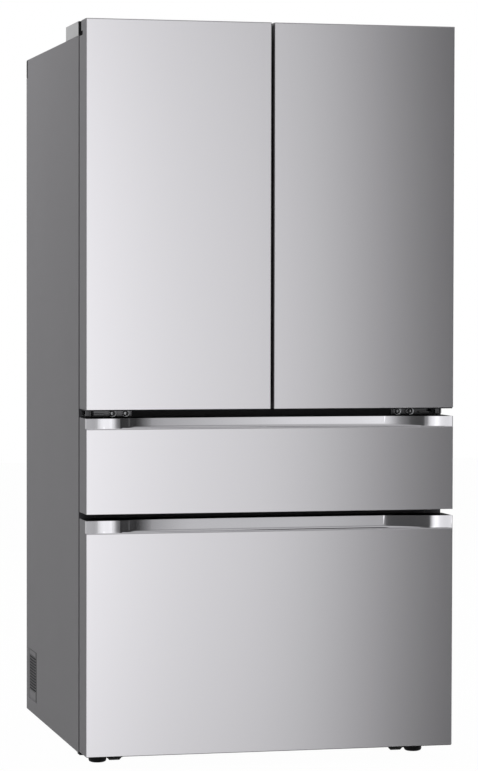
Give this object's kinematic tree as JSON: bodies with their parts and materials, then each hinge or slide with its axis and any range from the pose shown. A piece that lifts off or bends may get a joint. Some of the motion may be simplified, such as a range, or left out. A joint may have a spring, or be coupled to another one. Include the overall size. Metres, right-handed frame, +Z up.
{
  "type": "bottom freezer refrigerator",
  "caption": "Free-standing bottom-freezer refrigerator with side-hinged upper doors, a shallow middle drawer and a deep freezer drawer under scooped bright handle bands.",
  "frame": {"origin": "on the floor under the middle of the refrigerator's width and depth", "axes": "+Z up, fronts towards -Y, +X to the right of someone who faces the doors"},
  "size_m": [0.908, 0.876, 1.786],
  "materials": {
    "case_paint": "satin",
    "rail_paint": "satin",
    "galvanised": "satin",
    "insulation": "matte",
    "white_plastic": "satin",
    "black_plastic": "matte",
    "compressor_paint": "satin",
    "fin_metal": "satin",
    "glass": "gloss",
    "hinge_steel": "satin",
    "grey_plastic": "satin",
    "stainless": "satin",
    "bright_band": "polished",
    "seal_rubber": "matte",
    "clear_plastic": "gloss"
  },
  "bodies": {
    "cabinet": {"side_panel_left": "case_paint", "side_panel_right": "case_paint", "top_panel": "case_paint", "rear_top_cap": "black_plastic", "back_panel": "galvanised", "cabinet_insulation": "insulation", "fridge_liner": "white_plastic", "middle_drawer_liner": "white_plastic", "freezer_liner": "white_plastic", "upper_cross_rail": "rail_paint", "lower_cross_rail": "rail_paint", "base_frame": "rail_paint", "compressor_tray": "galvanised", "machine_cover": "galvanised", "power_inlet": "black_plastic", "compressor": "compressor_paint", "condenser": "fin_metal", "evaporator": "fin_metal", "evaporator_cover": "white_plastic", "fridge_air_duct": "white_plastic", "shelf_lower": "glass", "shelf_upper": "glass", "crisper_cover": "glass", "hinge_top_left": "hinge_steel", "hinge_cover_left": "grey_plastic", "hinge_middle_left": "hinge_steel", "hinge_top_right": "hinge_steel", "hinge_cover_right": "grey_plastic", "hinge_middle_right": "hinge_steel"},
    "door_left": {"door_left_skin": "stainless", "door_left_body": "white_plastic", "door_left_seal": "seal_rubber", "door_left_bin_lower": "clear_plastic", "door_left_bin_upper": "clear_plastic"},
    "door_right": {"door_right_skin": "stainless", "door_right_body": "white_plastic", "door_right_seal": "seal_rubber", "door_right_bin_lower": "clear_plastic", "door_right_bin_upper": "clear_plastic"},
    "centre_flap": {"centre_flap": "grey_plastic"},
    "middle_drawer": {"middle_drawer_skin": "stainless", "middle_drawer_handle_band": "bright_band", "middle_drawer_body": "white_plastic", "middle_drawer_seal": "seal_rubber", "middle_drawer_bin": "clear_plastic"},
    "freezer_drawer": {"freezer_drawer_skin": "stainless", "freezer_drawer_handle_band": "bright_band", "freezer_drawer_body": "white_plastic", "freezer_drawer_seal": "seal_rubber", "freezer_basket": "white_plastic"},
    "freezer_tray": {"freezer_tray": "clear_plastic"},
    "crisper_left": {"crisper_left": "clear_plastic"},
    "crisper_right": {"crisper_right": "clear_plastic"},
    "condenser_fan": {"condenser_fan": "black_plastic"},
    "foot_left": {"foot_left": "black_plastic"},
    "foot_right": {"foot_right": "black_plastic"},
    "front_roller_left": {"front_roller_left": "black_plastic"},
    "front_roller_right": {"front_roller_right": "black_plastic"},
    "rear_roller_left": {"rear_roller_left": "black_plastic"},
    "rear_roller_right": {"rear_roller_right": "black_plastic"}
  },
  "joints": [
    {"name": "door_left_hinge", "type": "hinge", "parent": "cabinet", "child": "door_left", "pos_m": [-0.434, -0.372, 1.3], "axis": [0, 0, -1], "range_deg": [0, 110]},
    {"name": "door_right_hinge", "type": "hinge", "parent": "cabinet", "child": "door_right", "pos_m": [0.434, -0.372, 1.3], "axis": [0, 0, 1], "range_deg": [0, 110]},
    {"name": "centre_flap_hinge", "type": "hinge", "parent": "door_left", "child": "centre_flap", "pos_m": [-0.018, -0.3287, 1.3], "axis": [0, 0, -1], "range_deg": [0, 90]},
    {"name": "middle_drawer_slide", "type": "slide", "parent": "cabinet", "child": "middle_drawer", "axis": [0, -1, 0], "range_m": [0, 0.45]},
    {"name": "freezer_drawer_slide", "type": "slide", "parent": "cabinet", "child": "freezer_drawer", "axis": [0, -1, 0], "range_m": [0, 0.42]},
    {"name": "freezer_tray_slide", "type": "slide", "parent": "cabinet", "child": "freezer_tray", "axis": [0, -1, 0], "range_m": [0, 0.08]},
    {"name": "crisper_left_slide", "type": "slide", "parent": "cabinet", "child": "crisper_left", "axis": [0, -1, 0], "range_m": [0, 0.06]},
    {"name": "crisper_right_slide", "type": "slide", "parent": "cabinet", "child": "crisper_right", "axis": [0, -1, 0], "range_m": [0, 0.06]},
    {"name": "condenser_fan_spin", "type": "hinge", "parent": "cabinet", "child": "condenser_fan", "pos_m": [-0.06, 0.319, 0.124], "axis": [1, 0, 0], "continuous": true},
    {"name": "foot_left_turn", "type": "hinge", "parent": "cabinet", "child": "foot_left", "pos_m": [-0.399, -0.29, 0.02], "axis": [0, 0, 1], "continuous": true},
    {"name": "foot_right_turn", "type": "hinge", "parent": "cabinet", "child": "foot_right", "pos_m": [0.399, -0.29, 0.02], "axis": [0, 0, 1], "continuous": true},
    {"name": "front_roller_left_spin", "type": "hinge", "parent": "cabinet", "child": "front_roller_left", "pos_m": [-0.356, -0.282, 0.017], "axis": [1, 0, 0], "continuous": true},
    {"name": "front_roller_right_spin", "type": "hinge", "parent": "cabinet", "child": "front_roller_right", "pos_m": [0.356, -0.282, 0.017], "axis": [1, 0, 0], "continuous": true},
    {"name": "rear_roller_left_spin", "type": "hinge", "parent": "cabinet", "child": "rear_roller_left", "pos_m": [-0.385, 0.392, 0.016], "axis": [1, 0, 0], "continuous": true},
    {"name": "rear_roller_right_spin", "type": "hinge", "parent": "cabinet", "child": "rear_roller_right", "pos_m": [0.385, 0.392, 0.016], "axis": [1, 0, 0], "continuous": true}
  ]
}
